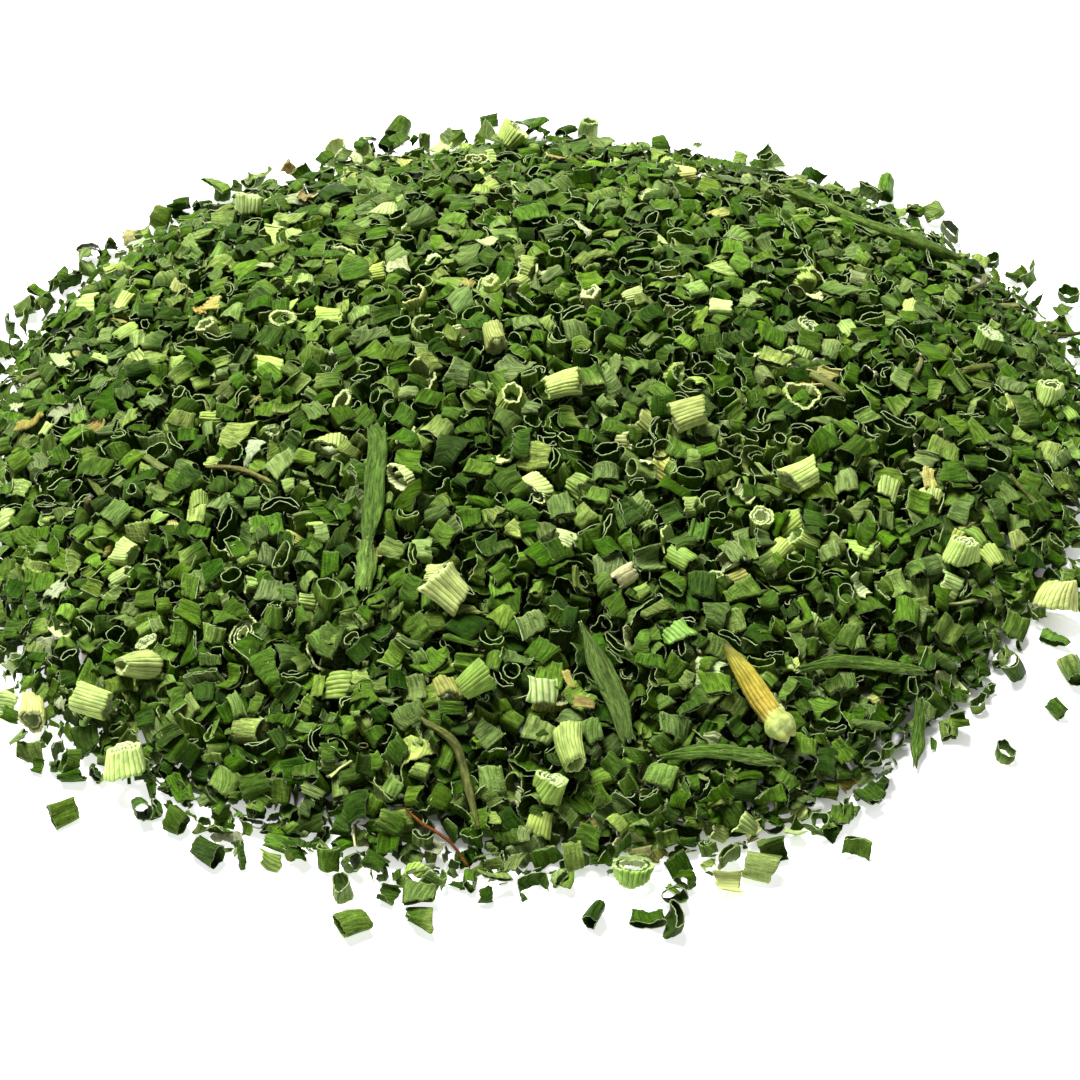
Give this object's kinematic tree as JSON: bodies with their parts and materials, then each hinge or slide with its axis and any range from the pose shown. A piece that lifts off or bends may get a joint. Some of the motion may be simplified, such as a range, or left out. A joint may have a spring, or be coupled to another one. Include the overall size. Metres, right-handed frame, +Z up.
{
  "type": "heap of chopped dried chives",
  "caption": "Low loose heap of chopped dried chives: short hollow green rings, pale ribbed stem rings, leaf blades and dry stalks, lying on a flat surface.",
  "frame": {"origin": "middle of the heap's whole footprint, stray rings counted, on the surface that it lies on", "axes": "+Z up, away from the surface; +X along the heap's longest side; +Y away from the side that the picture was taken from"},
  "size_m": [0.185, 0.1738, 0.0262],
  "materials": {
    "heap_green": "matte",
    "green_leaf": "matte",
    "pale_stem": "matte",
    "dry_stalk": "matte",
    "husk": "matte"
  },
  "bodies": {
    "root": {"green_ring_01": "green_leaf", "green_ring_02": "green_leaf", "green_ring_03": "green_leaf", "green_ring_04": "green_leaf", "green_ring_05": "green_leaf", "green_ring_06": "green_leaf", "green_ring_07": "green_leaf", "green_ring_08": "green_leaf", "heap_mass": "heap_green", "leaf_blade_1": "green_leaf", "leaf_blade_2": "green_leaf", "leaf_blade_3": "green_leaf", "leaf_blade_4": "green_leaf", "leaf_blade_5": "green_leaf", "pale_ring_01": "pale_stem", "pale_ring_02": "pale_stem", "pale_ring_03": "pale_stem", "pale_ring_04": "pale_stem", "pale_ring_05": "pale_stem", "pale_ring_06": "pale_stem", "pale_ring_07": "pale_stem", "pale_ring_08": "pale_stem", "pale_ring_09": "pale_stem", "pale_ring_10": "pale_stem", "pale_ring_11": "pale_stem", "pale_ring_12": "pale_stem", "pale_ring_13": "pale_stem", "pale_ring_14": "pale_stem", "pale_ring_15": "pale_stem", "pale_ring_16": "pale_stem", "pale_ring_17": "pale_stem", "pale_ring_18": "pale_stem", "pale_ring_19": "pale_stem", "stalk_1": "dry_stalk", "stalk_2": "dry_stalk", "stalk_3": "dry_stalk", "stalk_4": "dry_stalk", "stalk_5": "dry_stalk", "stem_base": "husk", "stray_ring_01": "green_leaf", "stray_ring_02": "green_leaf", "stray_ring_03": "green_leaf", "stray_ring_04": "green_leaf", "stray_ring_05": "green_leaf", "stray_ring_06": "green_leaf", "stray_ring_07": "green_leaf", "stray_ring_08": "green_leaf", "stray_ring_09": "green_leaf", "stray_ring_10": "green_leaf", "stray_ring_11": "green_leaf", "stray_ring_12": "green_leaf", "stray_ring_13": "green_leaf", "stray_ring_14": "green_leaf"}
  },
  "joints": []
}
